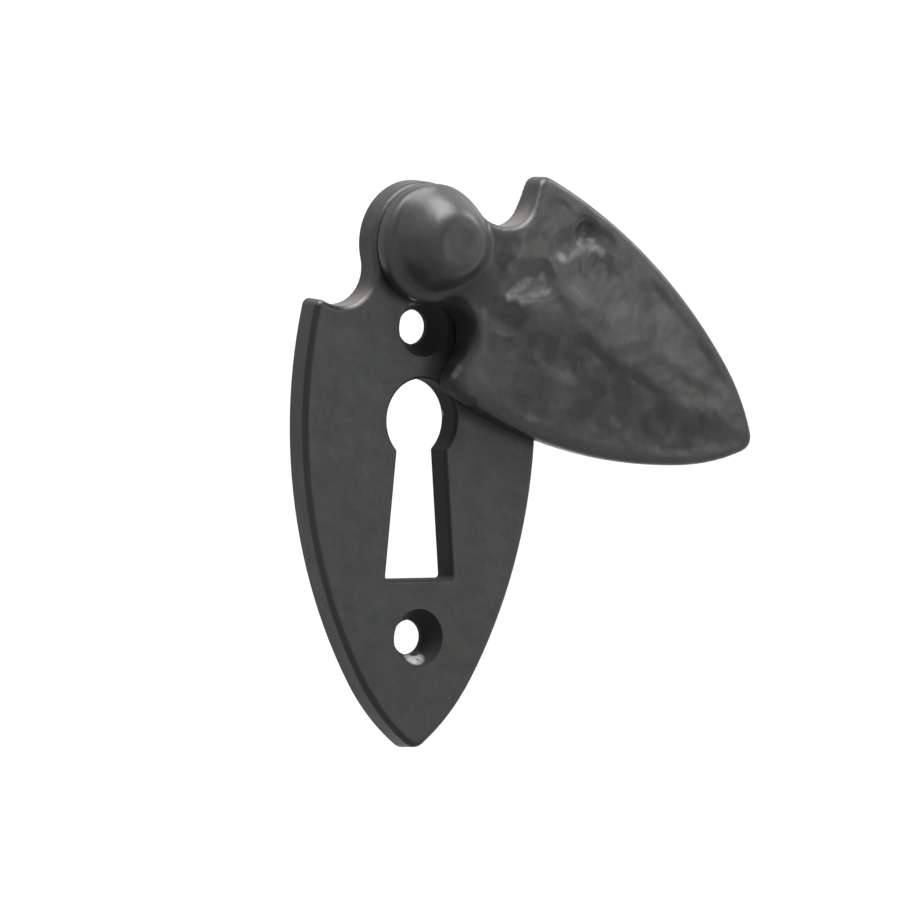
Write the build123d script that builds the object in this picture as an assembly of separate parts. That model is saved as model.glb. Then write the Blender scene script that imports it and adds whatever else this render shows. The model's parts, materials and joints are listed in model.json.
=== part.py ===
from build123d import *
from math import hypot, radians, sqrt, tan
import os

# Covered keyhole escutcheon: a shield-shaped cast plate, and a smaller crowned cover that swings on a pivot.
# Sizes are in millimetres and degrees. Every piece is drawn lying on its back with the pivot at the origin:
# x to the right, y towards the top of the plate, z out of the door. At the end it is stood up against the door.
# A drop is a distance down from the pivot.

# Plate outline, at its back face
plate_lobe_radius = 8.3
plate_notch_radius = 4.8
plate_notch_drop = 8.1
plate_horn_drop = 6.6
plate_half_width = 18.8
plate_widest_drop = 23.0
plate_side_radius = 67.0
plate_bend_drop = 58.0
plate_point_drop = 67.2

# Plate section; the corner rounds are what is left of them at the front face
plate_thickness = 3.3
plate_draft = 4.0
plate_edge_round = 0.8
plate_horn_round = 0.1
plate_point_round = 1.2

# Keyhole
keyhole_radius = 5.45
keyhole_drop = 23.3
slot_top_half_width = 3.4
slot_foot_half_width = 5.3
slot_foot_drop = 44.3
keyhole_corner_round = 0.5
keyhole_edge_round = 0.5

# Screw holes; the land is the straight part behind the countersink
screw_spacing = 41.0
upper_screw_drop = 11.1
screw_hole_radius = 2.3
screw_hole_land = 0.75
countersink_radius = 3.9

# Cover outline, drawn as it hangs closed
cover_lobe_radius = 7.9
cover_notch_radius = 4.4
cover_notch_drop = 10.5
cover_horn_drop = 9.9
cover_half_width = 16.1
cover_widest_drop = 15.9
cover_side_radius = 72.0
cover_bend_drop = 50.0
cover_point_drop = 59.2

# Cover section; heights are above its back face, and the corner rounds are inside the eased edge
cover_edge_round = 0.8
cover_horn_round = 0.9
cover_point_round = 1.2
ledge_height = 2.7
crown_height = 5.5
crown_drop = 11.0
crown_side_height = 3.5
crown_point_height = 2.8
cover_rim_width = 3.2
cover_wall = 2.4
hollow_corner_round = 1.5

# How the cover sits on the plate
cover_swing = 62.8
cover_running_gap = 0.1

# Domed boss over the pivot
boss_radius = 6.2
boss_height = 7.9
boss_shoulder_round = 3.2

# Hammer marks on the cover: across, drop and depth of each
hammer_radius = 13.0
hammer_marks = [
    (0.9, 14.4, 0.42),
    (10.4, 18.6, 0.42),
    (-8.2, 18.6, 0.30),
    (-1.6, 22.6, 0.26),
    (5.2, 28.0, 0.34),
    (-6.9, 29.4, 0.34),
    (11.6, 28.6, 0.28),
    (0.2, 34.4, 0.30),
    (-4.6, 39.2, 0.32),
    (6.4, 37.6, 0.34),
    (1.0, 45.2, 0.30),
    (-12.0, 22.8, 0.28),
]

# Pivot rivet, its washer and their recess in the plate's back
rivet_radius = 2.0
rivet_bore_clearance = 0.05
rivet_blind_depth = 4.4
rivet_head_radius = 3.3
rivet_head_height = 0.8
rivet_head_sunk = 0.2
washer_radius = 4.0
washer_thickness = 0.5
washer_bore_clearance = 0.1
recess_side_clearance = 0.3
recess_floor_gap = 0.05

# Places that follow from the sizes above
draft_run = plate_thickness * tan(radians(plate_draft))
lower_screw_drop = upper_screw_drop + screw_spacing
pivot_height = upper_screw_drop + screw_spacing / 2
washer_low = rivet_head_sunk + rivet_head_height
washer_high = washer_low + washer_thickness
cover_back = plate_thickness + cover_running_gap
crown_slope = (crown_height - crown_point_height) / (cover_point_drop - crown_drop)

# The cover's crown is turned about a line along it, this far behind its back
crown_side_fall = crown_height - crown_side_height
crown_axis_depth = (cover_half_width**2 + crown_side_height**2 - crown_height**2) / (2 * crown_side_fall)

# How near two points are when they count as one place
same_place = 0.01


def arc_about(centre, start, end):
    """The shorter arc about a centre, from start to end."""
    radius = (start - centre).length
    middle = (start + end) * 0.5 - centre
    return ThreePointArc(start, centre + middle.normalized() * radius, end)


def disc(radius, low, high):
    """Round block about the pivot line, between two heights."""
    return Pos(0, 0, low) * Cylinder(radius, high - low, align=(Align.CENTER, Align.CENTER, Align.MIN))


def corners_at(outline, across, drop):
    """Corners of an outline at a distance either side of the centre line and a drop."""

    def is_there(corner):
        return hypot(abs(corner.X) - across, corner.Y + drop) < same_place

    return outline.vertices().filter_by(is_there)


def shield_outline(
    lobe_radius,
    notch_radius,
    notch_drop,
    horn_drop,
    horn_round,
    half_width,
    widest_drop,
    side_radius,
    bend_drop,
    point_drop,
    point_round,
):
    """Face of a shield under a round lobe at the origin, with a notch in each shoulder and a pointed foot."""
    # The notch touches the lobe from outside, and its lowest point is at the notch drop
    notch_rise = notch_radius - notch_drop
    notch_centre = Vector(sqrt((lobe_radius + notch_radius) ** 2 - notch_rise**2), notch_rise)
    neck = notch_centre * (lobe_radius / (lobe_radius + notch_radius))
    notch_low = Vector(notch_centre.X, -notch_drop)

    # The side is one long arc from the horn to the bend, and from there a second arc runs on to the point
    side_centre = Vector(half_width - side_radius, -widest_drop)
    horn = Vector(side_centre.X + sqrt(side_radius**2 - (horn_drop - widest_drop) ** 2), -horn_drop)
    bend = Vector(side_centre.X + sqrt(side_radius**2 - (bend_drop - widest_drop) ** 2), -bend_drop)
    side = arc_about(side_centre, horn, bend)

    # The shoulder leaves the notch level and curves up to the horn
    half = [
        arc_about(notch_centre, neck, notch_low),
        TangentArc(notch_low, horn, tangent=(1, 0)),
        side,
        TangentArc(bend, (0, -point_drop), tangent=side % 1),
    ]
    other_half = [mirror(edge, about=Plane.YZ) for edge in half]
    lobe = ThreePointArc(neck, Vector(0, lobe_radius), Vector(-neck.X, neck.Y))
    outline = make_face([lobe] + half + other_half)
    outline = fillet(corners_at(outline, horn.X, horn_drop), horn_round)
    return fillet(corners_at(outline, 0, point_drop), point_round)


def plate_outline():
    """Outline of the plate's back, with corners large enough for the taper and the eased front edge."""
    return shield_outline(
        lobe_radius=plate_lobe_radius,
        notch_radius=plate_notch_radius,
        notch_drop=plate_notch_drop,
        horn_drop=plate_horn_drop,
        horn_round=plate_horn_round + plate_edge_round + draft_run,
        half_width=plate_half_width,
        widest_drop=plate_widest_drop,
        side_radius=plate_side_radius,
        bend_drop=plate_bend_drop,
        point_drop=plate_point_drop,
        point_round=plate_point_round + plate_edge_round + draft_run,
    )


def cover_outline():
    """Outline of the cover, with corners large enough for the eased front edge."""
    return shield_outline(
        lobe_radius=cover_lobe_radius,
        notch_radius=cover_notch_radius,
        notch_drop=cover_notch_drop,
        horn_drop=cover_horn_drop,
        horn_round=cover_horn_round + cover_edge_round,
        half_width=cover_half_width,
        widest_drop=cover_widest_drop,
        side_radius=cover_side_radius,
        bend_drop=cover_bend_drop,
        point_drop=cover_point_drop,
        point_round=cover_point_round + cover_edge_round,
    )


def keyhole_face():
    """Round head with a slot that widens towards its foot."""
    head = Pos(0, -keyhole_drop) * Circle(keyhole_radius)
    slot = make_face(
        Polyline(
            (-slot_top_half_width, -keyhole_drop),
            (slot_top_half_width, -keyhole_drop),
            (slot_foot_half_width, -slot_foot_drop),
            (-slot_foot_half_width, -slot_foot_drop),
            close=True,
        )
    )
    outline = head + slot
    return fillet(outline.vertices(), keyhole_corner_round)


def screw_cutter(drop):
    """Clearance hole with a deep countersink from the front face."""
    hole = disc(screw_hole_radius, 0, plate_thickness)
    sink_depth = plate_thickness - screw_hole_land
    upwards = (Align.CENTER, Align.CENTER, Align.MIN)
    sink = Cone(screw_hole_radius, countersink_radius, sink_depth, align=upwards)
    return Pos(0, -drop, 0) * (hole + Pos(0, 0, screw_hole_land) * sink)


def make_plate():
    """Cast plate: tapered shield with an eased edge, keyhole, screw holes, pivot bore and its recess."""
    plate = extrude(plate_outline(), plate_thickness, taper=plate_draft)
    plate = fillet(plate.faces().sort_by(Axis.Z)[-1].edges(), plate_edge_round)
    plate -= extrude(keyhole_face(), plate_thickness)
    front = plate.faces().sort_by(Axis.Z)[-1]
    plate = fillet(front.inner_wires()[0].edges(), keyhole_edge_round)
    plate -= screw_cutter(upper_screw_drop)
    plate -= screw_cutter(lower_screw_drop)
    plate -= disc(rivet_radius + rivet_bore_clearance, 0, plate_thickness)
    return plate - disc(washer_radius + recess_side_clearance, 0, washer_high + recess_floor_gap)


def crown_height_at(across, drop):
    """Height above the cover's back of the face that falls from the crown to the point."""
    ridge = crown_height - crown_slope * (drop - crown_drop)
    return sqrt((crown_axis_depth + ridge) ** 2 - across**2) - crown_axis_depth


def crown_body(inset):
    """Body turned about a line along the cover, whose front is the cover's face set back by an inset.

    The face is level round the boss, rises to the crown, falls straight to the point and runs past both ends.
    """
    back = crown_axis_depth - inset
    reach = cover_lobe_radius + cover_point_drop
    lobe_end = Vector(0, reach, back + ledge_height)
    pivot = Vector(0, 0, back + ledge_height)
    crown = Vector(0, -crown_drop, back + crown_height)
    foot = Vector(0, -reach, crown.Z - crown_slope * (reach - crown_drop))
    profile = [
        Line(lobe_end, pivot),
        Spline(pivot, crown, tangents=(pivot - lobe_end, foot - crown)),
        Polyline(crown, foot, (0, -reach, 0), (0, reach, 0), lobe_end),
    ]
    return Pos(0, 0, -crown_axis_depth) * revolve(make_face(profile), Axis.Y)


def front_rim_edges(cover):
    """Edges between the cover's crowned front and the walls, which are the faces that reach its back."""
    walls = cover.faces().filter_by(lambda face: face.bounding_box().min.Z < same_place)
    return walls.edges().filter_by(lambda edge: edge.bounding_box().min.Z > same_place)


def make_boss():
    """Round post over the pivot, with a shoulder so large that its front is nearly a dome."""
    post = disc(boss_radius, 0, boss_height)
    return fillet(post.edges().group_by(Axis.Z)[-1], boss_shoulder_round)


def hammer_mark(across, drop, depth):
    """Ball that leaves a dish of a given depth in the crowned face."""
    return Pos(across, -drop, crown_height_at(across, drop) + hammer_radius - depth) * Sphere(hammer_radius)


def hollow_face():
    """Pointed hollow for the cover's back, a rim's width inside its sides and below its notches."""
    side = Circle(cover_side_radius - cover_rim_width)
    side_offset = cover_side_radius - cover_half_width
    top = cover_notch_drop + cover_rim_width
    hollow = Pos(0, -top) * Rectangle(2 * cover_half_width, cover_point_drop, align=(Align.CENTER, Align.MAX))
    for centre in (-side_offset, side_offset):
        hollow &= Pos(centre, -cover_widest_drop) * side
    return fillet(hollow.vertices(), hollow_corner_round)


def make_cover():
    """Cast cover: crowned shield with an eased edge, boss, hammer marks, hollow back and blind pivot hole."""
    cover = extrude(cover_outline(), boss_height) & crown_body(0)
    cover = fillet(front_rim_edges(cover), cover_edge_round)
    cover += make_boss()
    for across, drop, depth in hammer_marks:
        cover -= hammer_mark(across, drop, depth)
    cover -= extrude(hollow_face(), boss_height) & crown_body(cover_wall)
    cover -= disc(rivet_radius, 0, rivet_blind_depth)
    return Pos(0, 0, cover_back) * Rot(0, 0, cover_swing) * cover


def make_rivet():
    """Steel pin fixed blind in the boss, with its inner end headed over in the plate's recess."""
    head = disc(rivet_head_radius, rivet_head_sunk, washer_low)
    head = fillet(head.edges().group_by(Axis.Z)[0], rivet_head_height / 2)
    return head + disc(rivet_radius, washer_low, cover_back + rivet_blind_depth)


def make_washer():
    """Thin washer between the headed end and the floor of the recess."""
    ring = disc(washer_radius, washer_low, washer_high)
    return ring - disc(rivet_radius + washer_bore_clearance, washer_low, washer_high)


# Standing against the door: back face on y = 0, front towards -y, the screw pattern's centre at the origin
door = Plane(origin=(0, 0, pivot_height), x_dir=(1, 0, 0), z_dir=(0, -1, 0))
pieces = {
    "escutcheon_plate": make_plate(),
    "swing_cover": make_cover(),
    "pivot_rivet": make_rivet(),
    "pivot_washer": make_washer(),
}
os.makedirs("parts", exist_ok=True)
for name, piece in pieces.items():
    export_step(door * piece, f"parts/{name}.step")
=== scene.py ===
import bmesh
import bpy
import json
import math
import numpy as np
from mathutils import Matrix, Vector, noise as unevenness
from mathutils.kdtree import KDTree


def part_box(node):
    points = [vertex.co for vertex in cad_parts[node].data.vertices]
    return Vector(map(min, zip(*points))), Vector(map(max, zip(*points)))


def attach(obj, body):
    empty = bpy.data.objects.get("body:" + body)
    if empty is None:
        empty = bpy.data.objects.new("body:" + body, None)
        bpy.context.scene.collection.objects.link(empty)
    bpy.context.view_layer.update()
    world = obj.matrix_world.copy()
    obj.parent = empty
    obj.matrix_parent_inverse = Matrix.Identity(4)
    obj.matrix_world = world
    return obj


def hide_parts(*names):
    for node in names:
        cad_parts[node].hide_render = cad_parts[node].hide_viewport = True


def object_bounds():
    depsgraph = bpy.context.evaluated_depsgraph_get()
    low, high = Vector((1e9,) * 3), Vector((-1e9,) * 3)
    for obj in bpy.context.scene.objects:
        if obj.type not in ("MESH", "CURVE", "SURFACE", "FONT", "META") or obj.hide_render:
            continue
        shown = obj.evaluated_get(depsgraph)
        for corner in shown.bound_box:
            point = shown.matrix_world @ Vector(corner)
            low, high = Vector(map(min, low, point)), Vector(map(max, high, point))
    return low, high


# Covered keyhole escutcheon in worn black paint on cast iron, hung in white light.
# Lengths are in metres, and names ending in _mm are in millimetres.
# On the cover, across is from its middle line, drop from its pivot to its point, and height from its back.

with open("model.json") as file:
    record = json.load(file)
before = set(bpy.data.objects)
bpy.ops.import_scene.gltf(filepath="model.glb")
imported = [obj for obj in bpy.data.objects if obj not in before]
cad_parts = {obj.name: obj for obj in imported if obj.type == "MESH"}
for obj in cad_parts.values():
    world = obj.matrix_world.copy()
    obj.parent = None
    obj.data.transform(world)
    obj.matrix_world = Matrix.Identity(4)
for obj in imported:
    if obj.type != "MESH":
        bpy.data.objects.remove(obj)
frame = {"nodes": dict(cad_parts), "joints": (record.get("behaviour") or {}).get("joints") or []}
cad_low, cad_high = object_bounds()
nodes = frame["nodes"]
scene = bpy.context.scene
millimetre = 0.001

# The cover's own frame: its pivot, and how far it is swung open at rest
pivot = Vector(frame["joints"][0]["pos_m"])
cover_swing = math.radians(62.8)

# Camera, fitted to the photograph
view_yaw = math.radians(35)
view_drop = math.radians(2.26)
view_roll = math.radians(0.98)
view_distance = 1.2
frame_pixels = 920
pixels_per_metre = 7590
aim = Vector((0, -0.0033, 0.0019))
aim_pixel = (421.3, 468.62)
sensor_mm = 36
nearest_seen = 0.01
farthest_seen = 100

# Soft lamps: name, place, width, height and watts
soft_lamps = [
    ("overhead", (-0.01, -0.08, 0.36), 0.30, 0.28, 3.8),
    ("right_side", (0.45, -0.10, 0.30), 0.20, 0.20, 1.0),
    ("right_low", (0.40, -0.42, 0.10), 0.16, 0.16, 0.4),
]

# Light on the object from all round, and the white that the eye and reflections see there
light_all_round = 0.3
seen_white = 1.0

# The floor: how far it lies below the object, its side and its grey
floor_drop = 0.032
floor_side = 40
floor_grey = 0.25

# The floor's glow, which rises away from the middle, so that a grey pool of painted shadow lies round the
# object's real shadow: where it starts to rise and is full, and its strengths
glow_start = 0.03
glow_end = 0.2
painted_pool_glow = 0.43
glow_far = 1.0

# The cast cover: size of its working faces, passes and share of smoothing, and how close corners are welded
cast_face = 0.0003
smoothing_passes = 8
smoothing_share = 0.5
weld_distance = 1e-7

# How far to the front a wall of the cast cover may turn and its face must turn, and where the face starts
wall_turn = 0.3
face_turn = 0.15
face_low_mm = 1.5

# The cover's boss: front, flank and foot, wider beside the shoulder, and its blends with ledge and shoulder
boss_front_mm = 7.9
boss_flat_mm = 2.6
boss_flank_power = 2.4
boss_foot_mm = 6.3
boss_wide_mm = 0.8
boss_hole_mm = 2.5
shoulder_side = (0.95, 0.31)
shoulder_turn = (-0.5, 0.7)
ledge_blend_mm = 1.4
shoulder_blend_mm = 4.6
least_reach_mm = 0.1

# The cover's face: a crown below the boss that falls to the point, with a soft keel along its middle
ledge_mm = 2.7
crown_mm = 5.5
crown_drop_mm = 11.0
point_mm = 2.8
point_drop_mm = 59.2
keel_slope = 0.125
keel_round_mm = 2.4

# Where the worked face starts and is whole, in from the rim
rim_start_mm = 0.8
rim_end_mm = 2.6

# Hammer blows: across, drop, half width, half length and depth, which is below 0 for a raised lip
hammer_blows = [
    (-4.2, 12.8, 1.7, 2.9, 0.42),
    (8.8, 21.8, 2.4, 1.0, -0.20),
    (9.2, 24.2, 2.0, 2.2, 0.45),
    (13.2, 15.4, 1.8, 2.6, 0.30),
    (6.4, 28.0, 2.6, 4.4, 0.26),
    (3.2, 22.4, 1.2, 3.8, -0.20),
    (-5.4, 23.5, 1.5, 4.6, 0.26),
    (-8.2, 32.0, 3.0, 3.4, 0.36),
    (-12.0, 22.2, 2.6, 2.8, 0.34),
    (-9.8, 16.6, 3.2, 1.5, -0.18),
    (-6.0, 38.2, 2.4, 2.8, 0.36),
    (-3.8, 44.4, 2.0, 2.6, 0.30),
    (9.0, 35.0, 2.8, 3.6, 0.24),
    (1.3, 43.5, 2.0, 5.4, 0.14),
    (3.8, 43.5, 1.2, 6.5, -0.12),
    (6.6, 45.2, 1.8, 1.8, 0.22),
    (-2.2, 51.0, 1.8, 3.2, 0.20),
]

# Long blows that slid: across and drop of both ends, half width and depth
sliding_blows = [
    (-0.3, 12.0, 2.8, 16.6, 1.4, 0.80),
    (2.2, 12.0, 4.4, 15.6, 1.1, 0.50),
    (8.8, 17.8, 12.2, 20.4, 1.7, 0.80),
    (12.2, 20.4, 13.0, 24.0, 1.5, 0.50),
]

# How square the side of a blow is
blow_power = 3

# A crease along the keel, steep on the keel's side and gentle on the other
crease_across_mm = -0.6
crease_start_mm = 21.0
crease_end_mm = 44.0
crease_fade_mm = 5.0
crease_stray_mm = 1.8
crease_steep_mm = 0.9
crease_gentle_mm = 6.5
crease_depth_mm = 0.5

# Slow and quick unevenness of the hammered face: the size of its waves and its height
waves_mm = [(4.5, 0.18), (2.0, 0.09), (1.1, 0.035)]

# Dark and pale stains in the cover's paint, partly painted shade and painted light: across, drop and radius
# The dark ones lie mostly left of the keel, where the face turns from the lamps, and the pale ones mostly
# right of it
dark_stains_and_shade = [
    (-2.6, 26.5, 2.0),
    (-3.6, 30.5, 2.6),
    (-2.8, 35.5, 2.2),
    (-6.8, 37.5, 1.9),
    (-4.4, 43.0, 2.2),
    (-2.4, 49.5, 2.4),
    (-5.2, 20.5, 2.2),
    (-8.6, 31.0, 1.8),
    (-12.6, 22.0, 1.6),
    (-3.8, 13.0, 2.0),
    (2.4, 8.6, 1.0),
    (9.6, 23.0, 1.6),
    (13.6, 19.5, 1.4),
]
pale_stains_and_light = [
    (-11.5, 14.5, 3.0),
    (-9.0, 26.5, 1.6),
    (4.2, 22.5, 1.6),
    (7.0, 29.5, 2.4),
    (4.4, 41.5, 2.0),
    (6.6, 44.0, 1.6),
    (9.0, 37.5, 1.8),
    (3.2, 50.0, 1.8),
]
stain_and_shading_height_mm = 5.0
stain_and_shading_fade_mm = 1.8

# How far the borders of stains stray, and the noise that they follow
stray_mm = 5.0
stray_per_mm = 0.35
stray_detail = 4.0
stray_roughness = 0.6

# Painted highlights in streaks on the lips of the blows, whose facets face the lamps: across and drop of
# both ends
painted_lit_streaks = [
    (-1.5, 12.2, 1.7, 14.0),
    (3.7, 16.2, 3.5, 17.6),
    (3.5, 17.6, 2.3, 17.5),
    (2.3, 17.5, -1.0, 14.2),
    (7.6, 18.8, 10.9, 20.8),
    (10.9, 20.8, 11.0, 23.6),
]
spots_per_streak = 7
streak_radius_mm = 0.2
streak_fade_mm = 0.9

# Painted highlights on the walls of the cover's upper notch, which face the overhead lamp, and a painted
# glint on a corner of its lower one: across, drop, height, radius and fade
painted_highlight_walls = [
    (8.4, 10.4, 2.4, 0.8, 3.0),
    (-14.0, 10.1, 3.2, 0.3, 0.7),
    (-13.1, 10.8, 3.2, 0.3, 0.7),
    (-12.2, 11.5, 3.2, 0.3, 0.7),
]

# Painted shade: the rest of its lower notch's wall, and its lobe's edge beside that, lie in the boss's
# shadow and are painted near black
painted_shade_walls = [
    (-7.5, 7.0, 2.4, 3.0, 1.0),
    (-10.6, 9.2, 2.0, 1.6, 1.0),
    (-13.2, 8.8, 1.8, 1.6, 1.0),
    (-7.2, 2.6, 0.6, 1.4, 0.8),
]

# Marks on the plate by kind: a place in the frame, a radius and a fade, in millimetres
left_notch_mm = (-10.2, -2.2, 23.8)
lower_countersink_mm = (0.3, -2.0, -22.8)
countersink_stain_mm = (0.9, -1.0, -22.3)
keyhole_edge_mm = (5.4, 0.2, 9.0)
plate_marks = {
    # A painted highlight on the lit wall of the plate's left notch
    "painted_highlight": [(left_notch_mm, 0.8, 3.0)],
    "bare": [(lower_countersink_mm, 0.9, 0.8), (keyhole_edge_mm, 0.5, 0.3)],
    "rust": [(countersink_stain_mm, 0.5, 0.5)],
}

# How squarely a surface faces front or back as it leaves the face, and as a wall turns into a rounded edge
leaving_face = (0.99, 0.93)
leaving_wall = (0.08, 0.25)

# The openings of the plate: the fades at their sides, above them and below them
opening_sides_mm = (6.2, 7.0)
opening_top_mm = (23.0, 24.0)
opening_foot_mm = (-27.0, -26.0)
edge_fade_mm = 1.0

# Noise in the paint and the steel: waves per millimetre, detail, and the values between which it takes hold
drift_noise = (0.09, 4.0, 0.35, 0.65)
dark_noise = (0.3, 4.0, 0.42, 0.6)
pale_noise = (0.22, 3.0, 0.54, 0.7)
patchy_noise = (0.7, 4.0, 0.35, 0.6)
thin_noise = (1.1, 4.0, 0.3, 0.45)
gloss_noise = (0.35, 4.0, 0.25, 0.75)
steel_stain_noise = (0.8, 4.0, 0.4, 0.7)
steel_gloss_noise = (0.8, 4.0, 0.3, 0.7)
noise_roughness = 0.55

# Noise that takes hold everywhere: waves per millimetre and detail
rust_noise = (2.2, 4.0)
grain_noise = (3.2, 6.0)
wave_noise = (0.25, 2.0)
scratch_noise = (6.0, 3.0)

# Share of blotches in the paint of each casting, least share of a painted highlight streak, and where rust
# takes hold
plate_blotches = 0.3
cover_blotches = 0.4
least_painted_lit = 0.3
rust_hold = (0.1, 0.4)

# Surfaces: shine and roughness of the paint, of the places where shade is painted and of the steel, and the
# heights of their bumps
paint_shine = 0.3
paint_roughness = (0.32, 0.44)
painted_shade_roughness = 0.8
steel_roughness = (0.3, 0.5)
grain_height_mm = 0.02
wave_height_mm = 0.15
paint_bump = 0.8
steel_bump = 0.3
scratch_depth = 0.02 * millimetre


def grey(level, warmth=0.0):
    """A grey, with red raised and blue lowered by a share."""
    return (level * (1 + warmth), level, level * (1 - warmth), 1.0)


# Colours of the paint, of stains that are partly painted shade and light, of painted highlights and painted
# shade, of what shows where it is worn, and of the steel
warm_black = grey(0.030, 0.05)
blue_black = grey(0.028, -0.05)
stain_and_shade_black = (0.0095, 0.0085, 0.0095, 1.0)
stain_and_light_grey = (0.041, 0.044, 0.041, 1.0)
# Painted highlight on the blows' lips
painted_lit_grey = grey(0.09, 0.05)
# Painted highlight on lit walls and edges
painted_highlight_grey = grey(0.085, 0.06)
# Painted shade on walls in shadow
painted_shade_black = grey(0.004)
bare_iron = grey(0.38, 0.04)
rust_brown = (0.055, 0.028, 0.015, 1.0)
clean_steel = grey(0.56)
stained_steel = grey(0.36, 0.06)

# Colour on the rounded edges and the openings' walls: colour, share and the height where it ends, which on
# the cover is above all of it
# On the plate it is a painted dark reflection on its rounded edges and painted shade in its openings
plate_edge_shade = (grey(0.005), 0.9, 24.0)
cover_edges = (grey(0.034), 0.6, 60.0)


def add_node(tree, kind, inputs=None, **settings):
    """New shader node with its settings, whose inputs are values or other nodes' outputs."""
    node = tree.nodes.new(kind)
    for key, value in settings.items():
        setattr(node, key, value)
    for key, value in (inputs or {}).items():
        if isinstance(value, bpy.types.NodeSocket):
            tree.links.new(value, node.inputs[key])
        else:
            node.inputs[key].default_value = value
    return node


def noise_node(tree, place, per_mm, detail, roughness):
    """Noise over places in millimetres, as a node."""
    inputs = {"Vector": place, "Scale": per_mm, "Detail": detail, "Roughness": roughness}
    return add_node(tree, "ShaderNodeTexNoise", inputs)


def noise(tree, place, per_mm, detail):
    """Noise between 0 and 1 over places in millimetres."""
    return noise_node(tree, place, per_mm, detail, noise_roughness).outputs["Fac"]


def step_between(tree, value, low, high, start=0.0, end=1.0):
    """Smooth step of a value from start at low to end at high."""
    inputs = {"Value": value, "From Min": low, "From Max": high, "To Min": start, "To Max": end}
    return add_node(tree, "ShaderNodeMapRange", inputs, interpolation_type="SMOOTHSTEP").outputs["Result"]


def noise_step(tree, place, layer, start=0.0, end=1.0):
    """Noise over places in millimetres, stepped from start to end between two of its values."""
    per_mm, detail, low, high = layer
    return step_between(tree, noise(tree, place, per_mm, detail), low, high, start, end)


def calculate(tree, operation, first, second):
    """One calculation on two values or outputs."""
    return add_node(tree, "ShaderNodeMath", {0: first, 1: second}, operation=operation).outputs[0]


def vector_node(tree, operation, inputs):
    """One calculation on vectors, as a node."""
    return add_node(tree, "ShaderNodeVectorMath", inputs, operation=operation)


def mix_colours(tree, share, first, second):
    """Two colours or outputs mixed by a share."""
    # A mix node has inputs 6 and 7 and output 2 for colours
    inputs = {0: share, 6: first, 7: second}
    return add_node(tree, "ShaderNodeMix", inputs, data_type="RGBA").outputs[2]


def new_material(name):
    """Material with its shader, and places on the resting object in millimetres."""
    material = bpy.data.materials.new(name)
    material.use_nodes = True
    tree = material.node_tree
    shader = tree.nodes["Principled BSDF"]
    local = tree.nodes.new("ShaderNodeTexCoord").outputs["Object"]
    place = vector_node(tree, "SCALE", {0: local, "Scale": 1 / millimetre}).outputs[0]
    return material, tree, shader, place


def roughen(tree, shader, height, strength, distance):
    """Bumps a shader's surface by a height."""
    inputs = {"Height": height, "Strength": strength, "Distance": distance}
    bump = add_node(tree, "ShaderNodeBump", inputs)
    tree.links.new(bump.outputs["Normal"], shader.inputs["Normal"])


def marked(tree, place, marks, kind):
    """1 in the balls of one kind of mark, fading to 0 outside them."""
    share = 0.0
    for centre_mm, radius_mm, fade_mm in marks.get(kind, []):
        away = vector_node(tree, "DISTANCE", {0: place, 1: centre_mm}).outputs["Value"]
        ball = step_between(tree, away, radius_mm, radius_mm + fade_mm, 1.0, 0.0)
        share = calculate(tree, "MAXIMUM", share, ball)
    return share


def strayed(tree, place):
    """Places that stray, so that the borders of stains are ragged."""
    stray = noise_node(tree, place, stray_per_mm, stray_detail, stray_roughness).outputs["Color"]
    stray = vector_node(tree, "SUBTRACT", {0: stray, 1: (0.5, 0.5, 0.5)}).outputs[0]
    stray = vector_node(tree, "SCALE", {0: stray, "Scale": stray_mm}).outputs[0]
    return vector_node(tree, "ADD", {0: place, 1: stray}).outputs[0]


def edges_and_openings(tree, place, edge_top_mm):
    """1 off the front and back, on rounded edges below a height, and on openings' walls, or else 0."""
    facing = add_node(tree, "ShaderNodeNewGeometry").outputs["Normal"]
    to_front = add_node(tree, "ShaderNodeSeparateXYZ", {0: facing}).outputs["Y"]
    to_front = calculate(tree, "ABSOLUTE", to_front, 0.0)
    off_face = step_between(tree, to_front, *leaving_face)
    rounded = calculate(tree, "MULTIPLY", off_face, step_between(tree, to_front, *leaving_wall))
    parts = add_node(tree, "ShaderNodeSeparateXYZ", {0: place}).outputs
    below_top = step_between(tree, parts["Z"], edge_top_mm - edge_fade_mm, edge_top_mm, 1.0, 0.0)
    rounded = calculate(tree, "MULTIPLY", rounded, below_top)
    from_middle = calculate(tree, "ABSOLUTE", parts["X"], 0.0)
    near_middle = step_between(tree, from_middle, *opening_sides_mm, 1.0, 0.0)
    below_lobe = step_between(tree, parts["Z"], *opening_top_mm, 1.0, 0.0)
    above_point = step_between(tree, parts["Z"], *opening_foot_mm)
    opening = calculate(tree, "MULTIPLY", below_lobe, above_point)
    opening = calculate(tree, "MULTIPLY", near_middle, opening)
    return off_face, rounded, calculate(tree, "MULTIPLY", opening, off_face)


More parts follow.
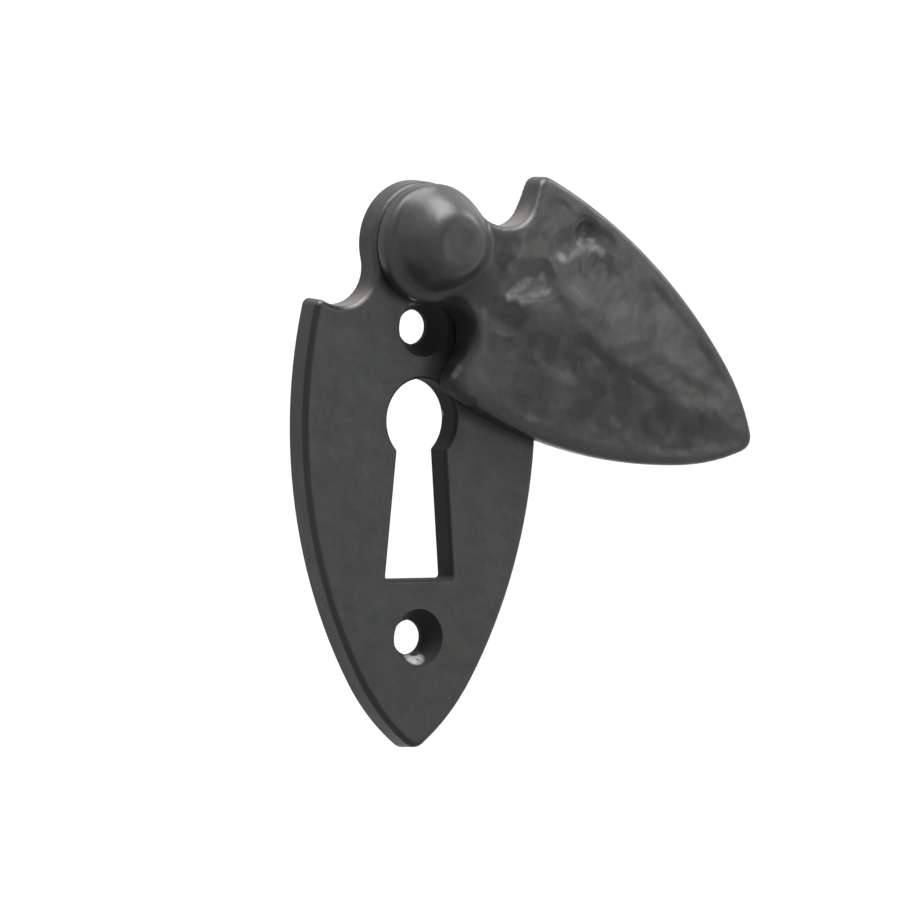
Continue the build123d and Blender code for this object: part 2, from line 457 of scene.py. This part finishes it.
def ground_colour(tree, place, blotches, marks):
    """Black between warm and blue, with dark and pale blotches, stains that are partly painted shade and
    painted light, and streaks of painted highlight.
    """
    colour = mix_colours(tree, noise_step(tree, place, drift_noise), warm_black, blue_black)
    ragged = strayed(tree, place)
    # Dark and pale blotches, and stains that are partly painted shade and painted light
    dark = noise_step(tree, place, dark_noise, 0.0, blotches)
    dark = calculate(tree, "MAXIMUM", dark, marked(tree, ragged, marks, "dark"))
    colour = mix_colours(tree, dark, colour, stain_and_shade_black)
    pale = noise_step(tree, place, pale_noise, 0.0, blotches)
    pale = calculate(tree, "MAXIMUM", pale, marked(tree, ragged, marks, "pale"))
    colour = mix_colours(tree, pale, colour, stain_and_light_grey)
    # Streaks of painted highlight on the lips of the blows
    patchy = noise_step(tree, place, patchy_noise, least_painted_lit, 1.0)
    painted_lit = calculate(tree, "MULTIPLY", marked(tree, place, marks, "painted_lit"), patchy)
    return mix_colours(tree, painted_lit, colour, painted_lit_grey)


def with_bare_iron(tree, place, colour, marks):
    """A colour with bare iron where the paint is gone, and rust at its edge."""
    thin = noise_step(tree, place, thin_noise)
    bare = calculate(tree, "MULTIPLY", marked(tree, place, marks, "bare"), thin)
    colour = mix_colours(tree, bare, colour, bare_iron)
    rusty = calculate(tree, "MULTIPLY", marked(tree, place, marks, "rust"), noise(tree, place, *rust_noise))
    return mix_colours(tree, step_between(tree, rusty, *rust_hold), colour, rust_brown)


def black_paint(name, blotches, edge_tone, marks):
    """Satin black paint on cast iron: uneven colour and gloss, a grained surface, and marks by kind.

    Edge tone has a colour, a share and the height where it ends, and on the plate it is painted shade; a
    mark has a centre, a radius and a fade.
    """
    material, tree, shader, place = new_material(name)
    colour = ground_colour(tree, place, blotches, marks)

    # A colour along the rounded edges and in the openings: near-black painted shade on the plate, close to
    # the paint's own black on the cover
    edge_colour, edge_share, edge_top_mm = edge_tone
    off_face, rounded, opening = edges_and_openings(tree, place, edge_top_mm)
    edges = calculate(tree, "MAXIMUM", rounded, opening)
    edges = step_between(tree, edges, 0.0, 1.0, 0.0, edge_share)
    colour = mix_colours(tree, edges, colour, edge_colour)

    # Painted shade on walls that lie in shadow, then painted highlights on lit walls and a painted glint
    painted_shade = calculate(tree, "MULTIPLY", marked(tree, place, marks, "painted_shade"), off_face)
    colour = mix_colours(tree, painted_shade, colour, painted_shade_black)
    painted_highlight = calculate(tree, "MULTIPLY", marked(tree, place, marks, "painted_highlight"), off_face)
    colour = mix_colours(tree, painted_highlight, colour, painted_highlight_grey)
    colour = with_bare_iron(tree, place, colour, marks)
    tree.links.new(colour, shader.inputs["Base Color"])

    # Uneven gloss, which is lost in openings and where shade is painted
    shader.inputs["Specular IOR Level"].default_value = paint_shine
    gloss = noise_step(tree, place, gloss_noise, *paint_roughness)
    dull = calculate(tree, "MAXIMUM", opening, painted_shade)
    dull = step_between(tree, dull, 0.0, 1.0, 0.0, painted_shade_roughness)
    tree.links.new(calculate(tree, "MAXIMUM", gloss, dull), shader.inputs["Roughness"])

    # Fine grain of the casting under the paint, and slow waves in it
    grain = calculate(tree, "MULTIPLY", noise(tree, place, *grain_noise), grain_height_mm)
    waves = calculate(tree, "MULTIPLY", noise(tree, place, *wave_noise), wave_height_mm)
    roughen(tree, shader, calculate(tree, "ADD", grain, waves), paint_bump, millimetre)
    return material


def plain_steel():
    """Dull steel, turned and a little stained."""
    material, tree, shader, place = new_material("plain_steel")
    colour = mix_colours(tree, noise_step(tree, place, steel_stain_noise), clean_steel, stained_steel)
    tree.links.new(colour, shader.inputs["Base Color"])
    shader.inputs["Metallic"].default_value = 1.0
    gloss = noise_step(tree, place, steel_gloss_noise, *steel_roughness)
    tree.links.new(gloss, shader.inputs["Roughness"])
    roughen(tree, shader, noise(tree, place, *scratch_noise), steel_bump, scratch_depth)
    return material


def dress(piece, material):
    """Gives a piece one material."""
    piece.data.materials.clear()
    piece.data.materials.append(material)


def cover_places(points):
    """Across, drop and height of points in the frame, in millimetres in the cover's own frame."""
    aside, front, rise = ((points - np.array(pivot)) / millimetre).T
    across = aside * math.cos(cover_swing) + rise * math.sin(cover_swing)
    drop = aside * math.sin(cover_swing) - rise * math.cos(cover_swing)
    return across, drop, -front


def cover_point(across, drop, height):
    """Place in the frame of a place in the cover's own frame, both in millimetres."""
    aside = across * math.cos(cover_swing) + drop * math.sin(cover_swing)
    rise = across * math.sin(cover_swing) - drop * math.cos(cover_swing)
    return pivot / millimetre + Vector((aside, -height, rise))


def smooth_share(value, low, high):
    """0 below low, 1 above high, and a smooth step between."""
    share = np.clip((value - low) / (high - low), 0, 1)
    return share * share * (3 - 2 * share)


def plain_height(across, drop):
    """Height of the face over the cover's back before it is hammered, in millimetres."""
    slope = (point_mm - crown_mm) / (point_drop_mm - crown_drop_mm)
    share = np.clip(drop / crown_drop_mm, 0, 1)
    eased = smooth_share(drop, 0, crown_drop_mm)
    rise = ledge_mm + (crown_mm - ledge_mm) * eased + slope * crown_drop_mm * share**2 * (share - 1)
    ridge = np.where(drop > crown_drop_mm, crown_mm + slope * (drop - crown_drop_mm), rise)
    keel = keel_slope * (np.hypot(across, keel_round_mm) - keel_round_mm)
    return ridge - keel * eased


def from_line(across, drop, start_across, start_drop, end_across, end_drop):
    """Distance of places on the cover from a line between two ends."""
    run_across = end_across - start_across
    run_drop = end_drop - start_drop
    share = (across - start_across) * run_across + (drop - start_drop) * run_drop
    share = np.clip(share / (run_across**2 + run_drop**2), 0, 1)
    return np.hypot(across - start_across - share * run_across, drop - start_drop - share * run_drop)


def crease_depth(across, drop):
    """Depth of the crease along the keel, in millimetres."""
    stray = np.array([unevenness.noise((along, 0, 0)) for along in drop / crease_fade_mm])
    past_keel = crease_across_mm + crease_stray_mm * stray - across
    steep = smooth_share(past_keel, 0, crease_steep_mm)
    gentle = smooth_share(past_keel, crease_steep_mm, crease_gentle_mm)
    begun = smooth_share(drop, crease_start_mm, crease_start_mm + crease_fade_mm)
    ended = smooth_share(drop, crease_end_mm - crease_fade_mm, crease_end_mm)
    return crease_depth_mm * (steep - gentle) * (begun - ended)


def hammered_height(across, drop):
    """Height of the hammered face over the cover's back, in millimetres."""
    height = plain_height(across, drop)
    for mark_across, mark_drop, half_width, half_length, depth in hammer_blows:
        away = np.hypot((across - mark_across) / half_width, (drop - mark_drop) / half_length)
        height = height - depth * np.exp(-(away**blow_power))
    for *ends, half_width, depth in sliding_blows:
        away = from_line(across, drop, *ends) / half_width
        height = height - depth * np.exp(-(away**blow_power))
    for size, amount in waves_mm:
        places = zip(across / size, drop / size)
        height = height + amount * np.array([unevenness.noise((*place, 0)) for place in places])
    return height - crease_depth(across, drop)


def to_shoulder(across, drop):
    """0 on the side of the boss that has a ledge, rising to 1 on the side of its full shoulder."""
    towards = across * shoulder_side[0] + drop * shoulder_side[1]
    reach = np.maximum(np.hypot(across, drop), least_reach_mm)
    return smooth_share(towards / reach, *shoulder_turn)


def boss_height(across, drop, foot):
    """Height of a boss over the cover's back, which goes on falling outside its foot, in millimetres."""
    out = np.clip((np.hypot(across, drop) - boss_flat_mm) / (foot - boss_flat_mm), 0, None)
    flank = 1 - np.minimum(out, 1) ** boss_flank_power - boss_flank_power * np.maximum(out - 1, 0)
    return ledge_mm + (boss_front_mm - ledge_mm) * flank


def with_boss(ground, across, drop):
    """Heights of the face with the boss, wider and blended further at the shoulder than at the ledge."""
    boss = boss_height(across, drop, boss_foot_mm + boss_wide_mm * to_shoulder(across, drop))
    blend = ledge_blend_mm + (shoulder_blend_mm - ledge_blend_mm) * to_shoulder(across, drop)
    share = np.clip(0.5 + 0.5 * (boss - ground) / blend, 0, 1)
    return ground + share * (boss - ground) + blend * share * (1 - share)


def mesh_values(items, name):
    """One three-part value of every vertex, as rows."""
    values = np.empty(len(items) * 3)
    items.foreach_get(name, values)
    return values.reshape(-1, 3)


def press_boss(mesh):
    """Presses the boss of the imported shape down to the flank, ready to be worked with the face."""
    points = mesh_values(mesh.vertices, "co")
    across, drop, height = cover_places(points)
    from_pivot = np.hypot(across, drop)
    pressed = np.maximum(boss_height(across, drop, boss_foot_mm), plain_height(across, drop))
    on_boss = (from_pivot > boss_hole_mm) & (from_pivot < boss_foot_mm) & (height > pressed)
    points[on_boss, 1] += (height - pressed)[on_boss] * millimetre
    mesh.vertices.foreach_set("co", points.ravel())


def cast_piece(node, name, prepare):
    """A node's shape, prepared by a function, as one cast surface of small even faces, smoothed."""
    work = bmesh.new()
    work.from_mesh(nodes[node].data)
    bmesh.ops.remove_doubles(work, verts=work.verts, dist=weld_distance)
    mesh = bpy.data.meshes.new(name)
    work.to_mesh(mesh)
    work.free()
    prepare(mesh)
    piece = bpy.data.objects.new(name, mesh)
    scene.collection.objects.link(piece)
    remesh = piece.modifiers.new("cast", "REMESH")
    remesh.mode = "VOXEL"
    remesh.voxel_size = cast_face
    smooth = piece.modifiers.new("smooth", "SMOOTH")
    smooth.factor = smoothing_share
    smooth.iterations = smoothing_passes
    worked = piece.evaluated_get(bpy.context.evaluated_depsgraph_get())
    shaped = bpy.data.meshes.new_from_object(worked)
    piece.modifiers.clear()
    piece.data = shaped
    shaped.name = name
    shaped.shade_smooth()
    return piece


def outer_walls(piece, points, normals):
    """Which points of the cast cover are on its outer walls, with nothing in front of them."""
    walls = np.flatnonzero(np.abs(normals[:, 1]) < wall_turn)
    to_front = Vector((0, -1, 0))
    outer = []
    for index in walls:
        start = Vector(points[index] + normals[index] * cast_face)
        if not piece.ray_cast(start, to_front)[0]:
            outer.append(index)
    return outer


def hammer_face(piece):
    """Works the front of the cast cover into the hammered face and the boss, inside its rim."""
    points = mesh_values(piece.data.vertices, "co")
    normals = mesh_values(piece.data.vertices, "normal")
    across, drop, height = cover_places(points)
    walls = outer_walls(piece, points, normals)
    rim = KDTree(len(walls))
    for index in walls:
        rim.insert((across[index], drop[index], 0), index)
    rim.balance()
    front = np.flatnonzero((normals[:, 1] < -face_turn) & (height > face_low_mm))
    across, drop, height = across[front], drop[front], height[front]
    inside = np.array([rim.find((*place, 0))[2] for place in zip(across, drop)])
    worked = smooth_share(inside, rim_start_mm, rim_end_mm)
    under_boss = 1 - smooth_share(np.hypot(across, drop), boss_foot_mm, boss_foot_mm + rim_start_mm)
    share = np.maximum(worked, under_boss)
    ground = height + share * (hammered_height(across, drop) - height)
    points[front, 1] -= (with_boss(ground, across, drop) - height) * millimetre
    piece.data.vertices.foreach_set("co", points.ravel())
    piece.data.update()


def keep_in_node(piece, node):
    """Holds a piece's points inside the box of the node that it replaces."""
    low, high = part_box(node)
    points = np.clip(mesh_values(piece.data.vertices, "co"), np.array(low), np.array(high))
    piece.data.vertices.foreach_set("co", points.ravel())
    piece.data.update()


def cover_spots(rows):
    """Marks at rows of across, drop, height, radius and fade on the cover."""
    spots = []
    for across, drop, height, radius, fade in rows:
        spots.append((cover_point(across, drop, height), radius, fade))
    return spots


def stain_and_shading_rows(stains):
    """Rows for stains on the cover's face, which are partly painted shade and painted light."""
    rows = []
    for across, drop, radius in stains:
        rows.append((across, drop, stain_and_shading_height_mm, radius, stain_and_shading_fade_mm))
    return rows


def streak_rows(streaks):
    """Rows for spots on the hammered face, close enough together to read as streaks."""
    rows = []
    for start_across, start_drop, end_across, end_drop in streaks:
        across = np.linspace(start_across, end_across, spots_per_streak)
        drop = np.linspace(start_drop, end_drop, spots_per_streak)
        for place in zip(across, drop, hammered_height(across, drop)):
            rows.append((*place, streak_radius_mm, streak_fade_mm))
    return rows


def seen_rays(tree):
    """1 for what the eye sees, also in reflections or through glass, and 0 for light on things."""
    path = tree.nodes.new("ShaderNodeLightPath").outputs
    seen = calculate(tree, "MAXIMUM", path["Is Camera Ray"], path["Is Glossy Ray"])
    return calculate(tree, "MAXIMUM", seen, path["Is Transmission Ray"])


def white_surround():
    """World that is white to the eye and in reflections, and an even pale light on the object."""
    world = bpy.data.worlds.new("white_surround")
    scene.world = world
    world.use_nodes = True
    tree = world.node_tree
    tree.nodes.clear()
    ambient = add_node(tree, "ShaderNodeBackground", {"Color": grey(1.0), "Strength": light_all_round})
    white = add_node(tree, "ShaderNodeBackground", {"Color": grey(1.0), "Strength": seen_white})
    inputs = {0: seen_rays(tree), 1: ambient.outputs[0], 2: white.outputs[0]}
    mixed = add_node(tree, "ShaderNodeMixShader", inputs)
    add_node(tree, "ShaderNodeOutputWorld", {"Surface": mixed.outputs[0]})


def white_floor(height):
    """Wide floor below the object: white to the eye, with the object's shadow on it and a grey pool of
    painted shadow round that.
    """
    bpy.ops.mesh.primitive_plane_add(size=floor_side, location=(0, 0, height))
    floor = bpy.context.object
    floor.name = "floor"
    material = bpy.data.materials.new("floor_white")
    material.use_nodes = True
    tree = material.node_tree
    tree.nodes.clear()
    # The glow makes up for the lamps' light, which thins out away from the object; its dip near the middle
    # also paints a grey pool of shadow under the object
    local = tree.nodes.new("ShaderNodeTexCoord").outputs["Object"]
    away = vector_node(tree, "LENGTH", {0: local}).outputs["Value"]
    rising = step_between(tree, away, glow_start, glow_end, painted_pool_glow, glow_far)
    strength = calculate(tree, "MULTIPLY", seen_rays(tree), rising)
    paint = add_node(tree, "ShaderNodeBsdfDiffuse", {"Color": grey(floor_grey)})
    glow = add_node(tree, "ShaderNodeEmission", {"Strength": strength})
    both = add_node(tree, "ShaderNodeAddShader", {0: paint.outputs[0], 1: glow.outputs[0]})
    add_node(tree, "ShaderNodeOutputMaterial", {"Surface": both.outputs[0]})
    floor.data.materials.append(material)


def soft_light(name, place, width, height, watts):
    """Area lamp turned to the middle of the plate."""
    lamp = bpy.data.lights.new(name, "AREA")
    lamp.shape = "RECTANGLE"
    lamp.size = width
    lamp.size_y = height
    lamp.energy = watts
    holder = bpy.data.objects.new(name, lamp)
    holder.location = place
    holder.rotation_euler = (-Vector(place)).to_track_quat("-Z", "Y").to_euler()
    scene.collection.objects.link(holder)


def photo_camera():
    """Camera at the photograph's angle, moved sideways so that the aim falls on its pixel."""
    forward = Vector((
        math.sin(view_yaw) * math.cos(view_drop),
        math.cos(view_yaw) * math.cos(view_drop),
        -math.sin(view_drop),
    ))
    level = Vector((math.cos(view_yaw), -math.sin(view_yaw), 0))
    upright = level.cross(forward)
    right = level * math.cos(view_roll) + upright * math.sin(view_roll)
    up = upright * math.cos(view_roll) - level * math.sin(view_roll)
    aside = (aim_pixel[0] - frame_pixels / 2) / pixels_per_metre
    below = (aim_pixel[1] - frame_pixels / 2) / pixels_per_metre
    data = bpy.data.cameras.new("camera")
    data.sensor_width = sensor_mm
    data.lens = data.sensor_width * pixels_per_metre * view_distance / frame_pixels
    data.clip_start = nearest_seen
    data.clip_end = farthest_seen
    camera = bpy.data.objects.new("camera", data)
    place = aim - forward * view_distance - right * aside + up * below
    turn = Matrix((right, up, -forward)).transposed().to_4x4()
    camera.matrix_world = Matrix.Translation(place) @ turn
    scene.collection.objects.link(camera)
    scene.camera = camera


# Cover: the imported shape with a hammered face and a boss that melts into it
cover = cast_piece("swing_cover", "cast_cover", press_boss)
hammer_face(cover)
keep_in_node(cover, "swing_cover")
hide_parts("swing_cover")
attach(cover, "cover")

# Materials
# The plate's rounded edges and openings get painted shade, and its left notch a painted highlight
dress(nodes["escutcheon_plate"], black_paint("plate_paint", plate_blotches, plate_edge_shade, plate_marks))
# The cover's marks: stains partly painted shade and light, painted highlights, and painted shade on walls
# in shadow
cover_marks = {
    "dark": cover_spots(stain_and_shading_rows(dark_stains_and_shade)),
    "pale": cover_spots(stain_and_shading_rows(pale_stains_and_light)),
    "painted_lit": cover_spots(streak_rows(painted_lit_streaks)),
    "painted_highlight": cover_spots(painted_highlight_walls),
    "painted_shade": cover_spots(painted_shade_walls),
}
dress(cover, black_paint("cover_paint", cover_blotches, cover_edges, cover_marks))
steel = plain_steel()
dress(nodes["pivot_rivet"], steel)
dress(nodes["pivot_washer"], steel)

# Surround, floor, lamps and camera
white_surround()
white_floor(cad_low.z - floor_drop)
for lamp in soft_lamps:
    soft_light(*lamp)
photo_camera()
scene.view_settings.view_transform = "Standard"
